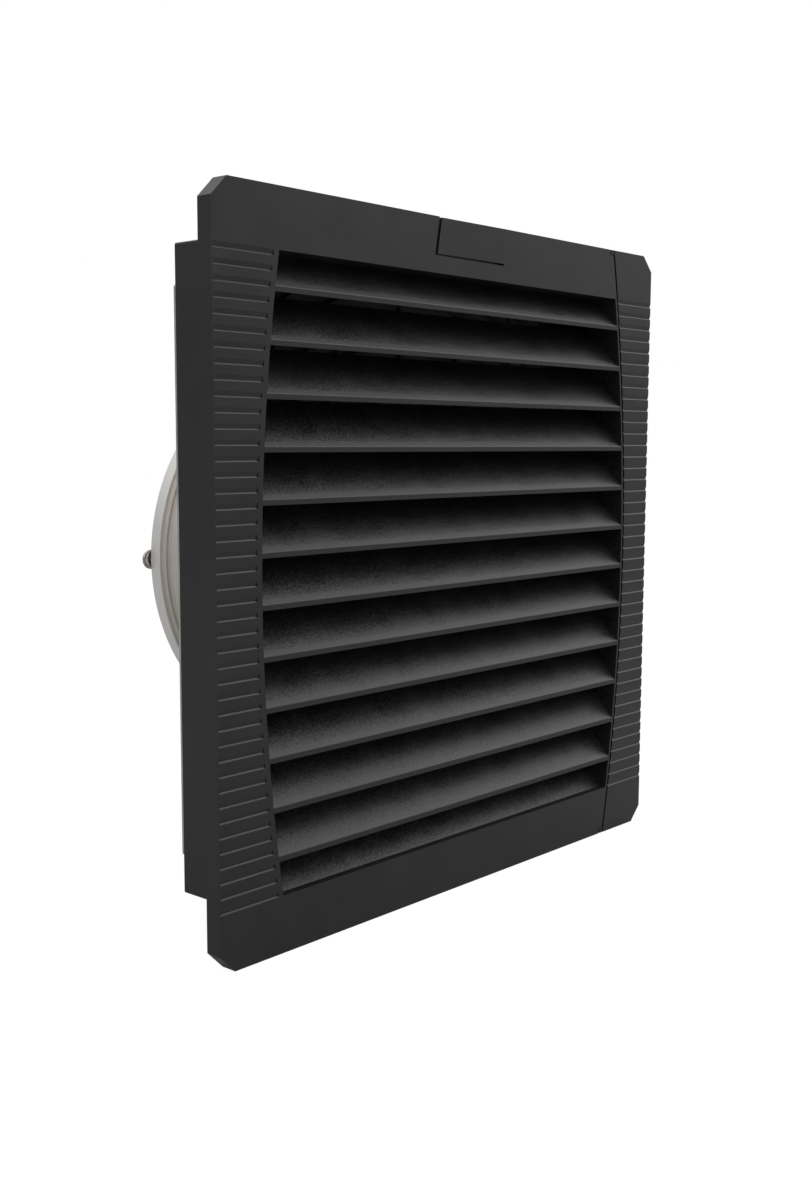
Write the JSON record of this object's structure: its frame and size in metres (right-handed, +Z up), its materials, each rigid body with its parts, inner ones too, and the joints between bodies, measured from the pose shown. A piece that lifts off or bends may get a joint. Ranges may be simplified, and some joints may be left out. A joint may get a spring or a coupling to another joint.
{
  "type": "enclosure filter fan",
  "caption": "Square filter fan for an enclosure wall: a hinged louvred cover over a filter mat, with a compact axial fan behind it.",
  "frame": {"origin": "centre of the panel's outer surface, where the gasket rests", "axes": "+X to the right seen from outside, +Y into the enclosure along the fan axis, +Z up"},
  "size_m": [0.252, 0.1016, 0.252],
  "materials": {
    "cover_plastic": "satin",
    "frame_plastic": "satin",
    "clip_plastic": "matte",
    "foam": "matte",
    "mat_fibre": "matte",
    "pin_steel": "satin",
    "spring_steel": "satin",
    "plate_zinc": "satin",
    "screw_zinc": "satin",
    "cast_aluminium": "cast",
    "motor_aluminium": "machined",
    "core_steel": "laminated",
    "winding_copper": "varnished",
    "bearing_steel": "polished",
    "guard_wire": "plated",
    "box_plastic": "matte",
    "block_plastic": "gloss",
    "terminal_brass": "satin",
    "rotor_paint": "satin",
    "cage_aluminium": "cast",
    "blade_plastic": "matte",
    "shaft_steel": "ground"
  },
  "bodies": {
    "housing": {"mounting_frame": "frame_plastic", "panel_gasket": "foam", "hinge_pins": "pin_steel", "ring_grid": "frame_plastic", "filter_mat": "mat_fibre", "clip_pins": "pin_steel", "fan_plate": "plate_zinc", "plate_screws": "screw_zinc", "fan_seal": "foam", "fan_frame": "cast_aluminium", "fan_screws": "screw_zinc", "motor_base": "motor_aluminium", "stator_core": "core_steel", "stator_windings": "winding_copper", "front_bearing": "bearing_steel", "rear_bearing": "bearing_steel", "finger_guard": "guard_wire", "guard_screws": "screw_zinc", "terminal_box": "box_plastic", "terminal_block": "block_plastic", "terminal_screws": "terminal_brass", "lid_pin": "pin_steel"},
    "cover": {"front_cover": "cover_plastic", "louvre": "cover_plastic"},
    "rotor": {"rotor_cup": "rotor_paint", "rotor_cage": "cage_aluminium", "impeller": "blade_plastic", "rotor_shaft": "shaft_steel", "shaft_clip": "spring_steel"},
    "lid": {"terminal_lid": "box_plastic"},
    "clip_tl": {"clip_top_left": "spring_steel"},
    "clip_tr": {"clip_top_right": "spring_steel"},
    "clip_bl": {"clip_bottom_left": "spring_steel"},
    "clip_br": {"clip_bottom_right": "spring_steel"}
  },
  "joints": [
    {"name": "cover_hinge", "type": "hinge", "parent": "housing", "child": "cover", "pos_m": [0.0948, -0.006, 0], "axis": [0, 0, 1], "range_deg": [0, 95]},
    {"name": "impeller_spin", "type": "hinge", "parent": "housing", "child": "rotor", "pos_m": [0, 0.06, 0], "axis": [0, 1, 0], "continuous": true},
    {"name": "lid_hinge", "type": "hinge", "parent": "housing", "child": "lid", "pos_m": [0.081, 0.0612, -0.0636], "axis": [1, 0, 0], "range_deg": [0, 110]},
    {"name": "clip_tl_press", "type": "hinge", "parent": "housing", "child": "clip_tl", "pos_m": [-0.062, 0.024, 0.1093], "axis": [1, 0, 0], "range_deg": [0, 9], "stiffness_Nm_per_rad": 0.5},
    {"name": "clip_tr_press", "type": "hinge", "parent": "housing", "child": "clip_tr", "pos_m": [0.062, 0.024, 0.1093], "axis": [1, 0, 0], "range_deg": [0, 9], "stiffness_Nm_per_rad": 0.5},
    {"name": "clip_bl_press", "type": "hinge", "parent": "housing", "child": "clip_bl", "pos_m": [-0.062, 0.024, -0.1093], "axis": [-1, 0, 0], "range_deg": [0, 9], "stiffness_Nm_per_rad": 0.5},
    {"name": "clip_br_press", "type": "hinge", "parent": "housing", "child": "clip_br", "pos_m": [0.062, 0.024, -0.1093], "axis": [-1, 0, 0], "range_deg": [0, 9], "stiffness_Nm_per_rad": 0.5}
  ]
}
